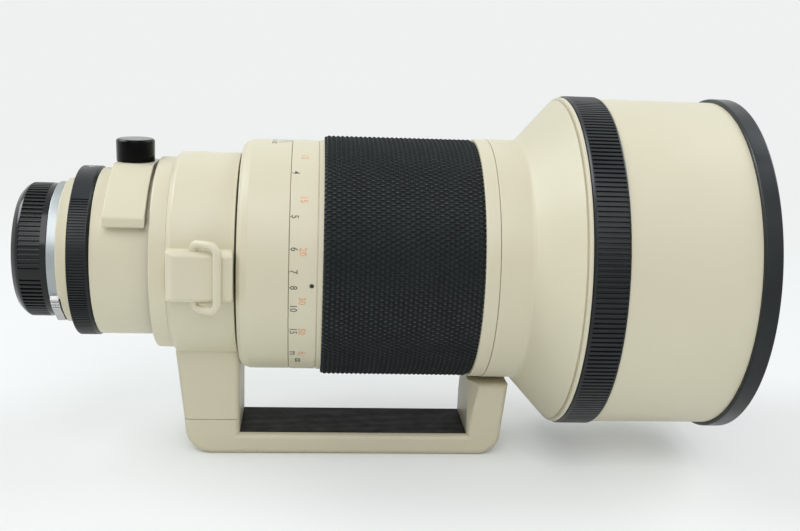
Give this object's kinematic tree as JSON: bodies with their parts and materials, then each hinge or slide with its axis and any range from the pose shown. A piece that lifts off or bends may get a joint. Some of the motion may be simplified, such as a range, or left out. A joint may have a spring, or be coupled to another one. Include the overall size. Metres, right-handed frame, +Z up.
{
  "type": "telephoto lens",
  "caption": "Fast telephoto lens on a turning tripod collar: slide-out hood, helical focusing, iris, drop-in filter drawer, strap lugs and rear cap.",
  "frame": {"origin": "centre of the mount flange's rear face, on the optical axis", "axes": "+X along the optical axis towards the front element, +Z up away from the foot, +Y to the left seen from the camera end"},
  "size_m": [0.2944, 0.142, 0.1552],
  "materials": {
    "cream_enamel": "satin warm off-white enamel",
    "black_enamel": "satin black anodised metal",
    "black_inside": "matt black, against stray light",
    "mount_steel": "turned and plated mount metal",
    "steel": "machined bright steel",
    "blade_steel": "blackened blade steel",
    "pin_brass": "turned brass",
    "cell_aluminium": "black anodised aluminium",
    "rubber": "matt moulded rubber",
    "cap_plastic": "moulded black plastic",
    "glass": "polished and coated"
  },
  "bodies": {
    "stand": {"collar_ring": "cream_enamel", "strap_lug_near": "cream_enamel", "strap_lug_far": "cream_enamel", "foot_bar": "cream_enamel", "foot_pad": "rubber", "foot_screws": "steel"},
    "barrel": {"mount_flange": "mount_steel", "mount_screws": "steel", "rear_ring": "cream_enamel", "rear_barrel": "cream_enamel", "collar_retainer": "cream_enamel", "collar_bearing": "cell_aluminium", "main_barrel": "cream_enamel", "iris_housing": "black_inside", "rear_cell": "black_inside", "front_barrel": "cream_enamel", "front_cell": "black_inside", "front_ring": "black_inside", "lens_1": "glass", "lens_2": "glass", "lens_3": "glass", "lens_4": "glass", "lens_5": "glass", "lens_8": "glass", "lens_9": "glass"},
    "near_loop": {"strap_loop_near": "cream_enamel"},
    "far_loop": {"strap_loop_far": "cream_enamel"},
    "collar_knob": {"collar_lock_knob": "black_enamel"},
    "aperture_ring": {"aperture_ring": "black_enamel"},
    "iris_drive": {"iris_cam_ring": "black_inside", "stop_down_lever": "steel"},
    "preview_button": {"preview_button": "steel"},
    "release_button": {"release_button": "steel"},
    "filter_drawer": {"filter_drawer": "cream_enamel", "filter_ring": "black_enamel", "filter_glass": "glass"},
    "filter_knob": {"filter_knob": "black_enamel"},
    "rear_cap": {"rear_cap": "cap_plastic"},
    "focus_ring": {"focus_sleeve": "cream_enamel", "focus_grip": "rubber", "scale_screw": "steel"},
    "focus_cell": {"focus_cell": "cell_aluminium", "cam_pins": "pin_brass", "lens_6": "glass", "lens_7": "glass"},
    "hood": {"hood_shell": "cream_enamel", "hood_rim": "black_enamel"},
    "hood_lock_ring": {"hood_lock_ring": "black_enamel"},
    "iris_blade_1": {"iris_blade_1": "blade_steel"},
    "iris_blade_2": {"iris_blade_2": "blade_steel"},
    "iris_blade_3": {"iris_blade_3": "blade_steel"},
    "iris_blade_4": {"iris_blade_4": "blade_steel"},
    "iris_blade_5": {"iris_blade_5": "blade_steel"},
    "iris_blade_6": {"iris_blade_6": "blade_steel"},
    "iris_blade_7": {"iris_blade_7": "blade_steel"},
    "iris_blade_8": {"iris_blade_8": "blade_steel"},
    "iris_blade_9": {"iris_blade_9": "blade_steel"}
  },
  "joints": [
    {"name": "barrel_turn", "type": "hinge", "parent": "stand", "child": "barrel", "pos_m": [0, 0, 0], "axis": [1, 0, 0], "continuous": true},
    {"name": "near_loop_swing", "type": "hinge", "parent": "stand", "child": "near_loop", "pos_m": [0.0593, -0.0465, 0], "axis": [0, 0, -1], "range_deg": [0, 116]},
    {"name": "far_loop_swing", "type": "hinge", "parent": "stand", "child": "far_loop", "pos_m": [0.0593, 0.0465, 0], "axis": [0, 0, 1], "range_deg": [0, 116]},
    {"name": "collar_knob_turn", "type": "hinge", "parent": "stand", "child": "collar_knob", "pos_m": [0.061, 0, 0], "axis": [0, 0.766, -0.6428], "range_deg": [0, 270]},
    {"name": "aperture_turn", "type": "hinge", "parent": "barrel", "child": "aperture_ring", "pos_m": [0, 0, 0], "axis": [1, 0, 0], "range_deg": [0, 56]},
    {"name": "iris_drive_turn", "type": "hinge", "parent": "barrel", "child": "iris_drive", "pos_m": [0, 0, 0], "axis": [1, 0, 0], "range_deg": [0, 16], "stiffness_Nm_per_rad": 0.05, "springref_deg": -20.05},
    {"name": "preview_press", "type": "slide", "parent": "barrel", "child": "preview_button", "axis": [0, 0.7071, 0.7071], "range_m": [0, 0.0015], "stiffness_N_per_m": 600, "springref_m": -0.001},
    {"name": "release_press", "type": "slide", "parent": "barrel", "child": "release_button", "axis": [0, -0.7071, 0.7071], "range_m": [0, 0.0015], "stiffness_N_per_m": 600, "springref_m": -0.001},
    {"name": "drawer_lift", "type": "slide", "parent": "barrel", "child": "filter_drawer", "axis": [0, 0, 1], "range_m": [0, 0.062]},
    {"name": "filter_knob_turn", "type": "hinge", "parent": "filter_drawer", "child": "filter_knob", "pos_m": [0.0309, 0, 0], "axis": [0, 0, 1], "range_deg": [0, 90]},
    {"name": "cap_pull", "type": "slide", "parent": "barrel", "child": "rear_cap", "axis": [-1, 0, 0], "range_m": [0, 0.02]},
    {"name": "focus_turn", "type": "hinge", "parent": "barrel", "child": "focus_ring", "pos_m": [0, 0, 0], "axis": [-1, 0, 0], "range_deg": [-9, 135]},
    {"name": "focus_slide", "type": "slide", "parent": "barrel", "child": "focus_cell", "axis": [1, 0, 0], "range_m": [-0.0013, 0.0189]},
    {"name": "hood_slide", "type": "slide", "parent": "barrel", "child": "hood", "axis": [1, 0, 0], "range_m": [0, 0.053]},
    {"name": "hood_lock_turn", "type": "hinge", "parent": "hood", "child": "hood_lock_ring", "pos_m": [0, 0, 0], "axis": [1, 0, 0], "range_deg": [0, 60]},
    {"name": "iris_blade_1_turn", "type": "hinge", "parent": "barrel", "child": "iris_blade_1", "pos_m": [0, 0.00965, -0.0265], "axis": [1, 0, 0], "range_deg": [0, 36.1]},
    {"name": "iris_blade_2_turn", "type": "hinge", "parent": "barrel", "child": "iris_blade_2", "pos_m": [0, 0.02442, -0.0141], "axis": [1, 0, 0], "range_deg": [0, 36.1]},
    {"name": "iris_blade_3_turn", "type": "hinge", "parent": "barrel", "child": "iris_blade_3", "pos_m": [0, 0.02777, 0.0049], "axis": [1, 0, 0], "range_deg": [0, 36.1]},
    {"name": "iris_blade_4_turn", "type": "hinge", "parent": "barrel", "child": "iris_blade_4", "pos_m": [0, 0.01813, 0.0216], "axis": [1, 0, 0], "range_deg": [0, 36.1]},
    {"name": "iris_blade_5_turn", "type": "hinge", "parent": "barrel", "child": "iris_blade_5", "pos_m": [0, 0, 0.0282], "axis": [1, 0, 0], "range_deg": [0, 36.1]},
    {"name": "iris_blade_6_turn", "type": "hinge", "parent": "barrel", "child": "iris_blade_6", "pos_m": [0, -0.01813, 0.0216], "axis": [1, 0, 0], "range_deg": [0, 36.1]},
    {"name": "iris_blade_7_turn", "type": "hinge", "parent": "barrel", "child": "iris_blade_7", "pos_m": [0, -0.02777, 0.0049], "axis": [1, 0, 0], "range_deg": [0, 36.1]},
    {"name": "iris_blade_8_turn", "type": "hinge", "parent": "barrel", "child": "iris_blade_8", "pos_m": [0, -0.02442, -0.0141], "axis": [1, 0, 0], "range_deg": [0, 36.1]},
    {"name": "iris_blade_9_turn", "type": "hinge", "parent": "barrel", "child": "iris_blade_9", "pos_m": [0, -0.00965, -0.0265], "axis": [1, 0, 0], "range_deg": [0, 36.1]}
  ],
  "couplings": [
    {"joint": "focus_slide", "follows": "focus_turn", "m_per_rad": 0.008},
    {"joint": "iris_blade_1_turn", "follows": "iris_drive_turn", "ratio": 2.25},
    {"joint": "iris_blade_2_turn", "follows": "iris_drive_turn", "ratio": 2.25},
    {"joint": "iris_blade_3_turn", "follows": "iris_drive_turn", "ratio": 2.25},
    {"joint": "iris_blade_4_turn", "follows": "iris_drive_turn", "ratio": 2.25},
    {"joint": "iris_blade_5_turn", "follows": "iris_drive_turn", "ratio": 2.25},
    {"joint": "iris_blade_6_turn", "follows": "iris_drive_turn", "ratio": 2.25},
    {"joint": "iris_blade_7_turn", "follows": "iris_drive_turn", "ratio": 2.25},
    {"joint": "iris_blade_8_turn", "follows": "iris_drive_turn", "ratio": 2.25},
    {"joint": "iris_blade_9_turn", "follows": "iris_drive_turn", "ratio": 2.25}
  ]
}
